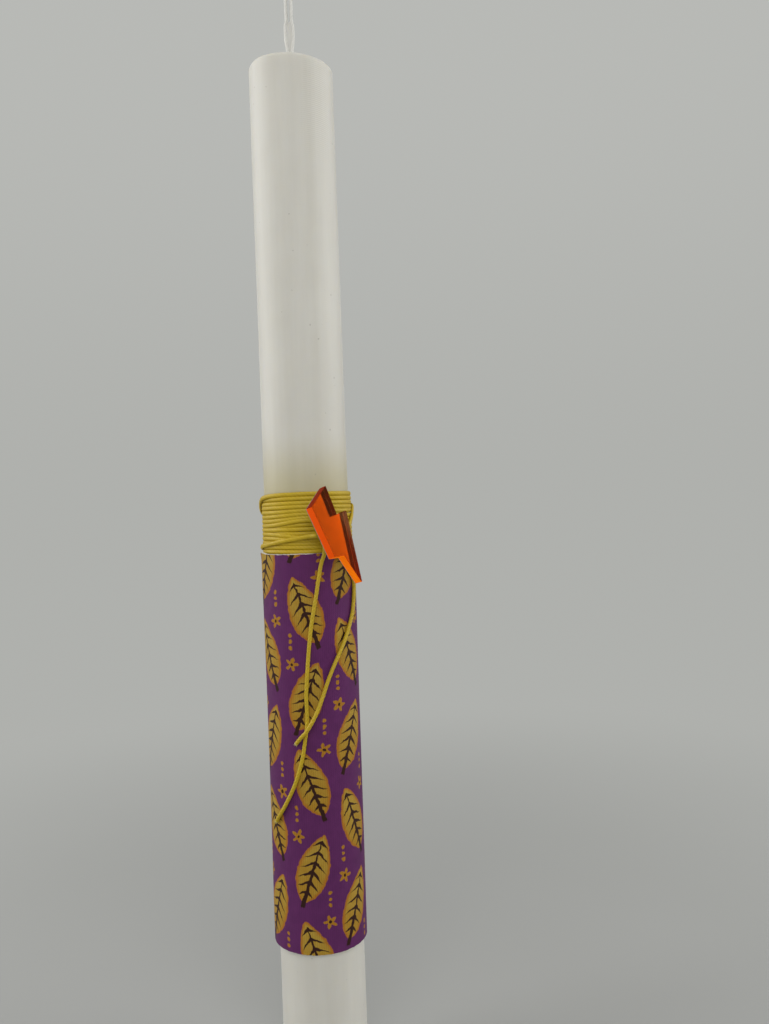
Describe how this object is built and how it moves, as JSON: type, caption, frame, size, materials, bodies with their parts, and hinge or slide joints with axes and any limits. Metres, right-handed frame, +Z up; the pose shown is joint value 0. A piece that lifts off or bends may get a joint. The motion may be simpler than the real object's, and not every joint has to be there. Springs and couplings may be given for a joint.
{
  "type": "easter candle",
  "caption": "Tall white wax candle with a looped wick, a printed purple sleeve, a wound yellow cord with loose ends and an orange lightning bolt charm.",
  "frame": {"origin": "centre of the candle's base", "axes": "+Z up along the candle, -Y the front that the cord's loose ends hang down, +X to the right of the front"},
  "size_m": [0.0311, 0.038, 0.335],
  "materials": {
    "wax": "satin white wax",
    "wick": "waxed cotton",
    "print": "printed canvas, purple ground with ochre leaves",
    "tape": "double-sided tape",
    "cord": "waxed cord, mustard yellow",
    "glue": "clear set glue",
    "mirror": "mirror film",
    "acrylic": "clear orange acrylic"
  },
  "bodies": {
    "candle": {"wax_body": "wax", "wick": "wick", "printed_sleeve": "print", "lap_tape": "tape", "lower_band": "tape", "upper_band": "tape", "cord_winding": "cord", "tie_strand": "cord", "over_strand": "cord", "knot_strand": "cord", "tail_long": "cord", "tail_short": "cord"},
    "knot": {"knot": "cord"},
    "charm": {"glue_dab": "glue", "charm_film": "mirror", "charm": "acrylic"}
  },
  "joints": [
    {"name": "charm_rock", "type": "hinge", "parent": "candle", "child": "knot", "pos_m": [0.00676, -0.0145, 0.1605], "axis": [0.9063, 0.4226, 0], "range_deg": [-12, 28]},
    {"name": "charm_swing", "type": "hinge", "parent": "knot", "child": "charm", "pos_m": [0.00676, -0.0145, 0.1605], "axis": [0.5908, -0.784, 0.1908], "range_deg": [-35, 35]}
  ]
}
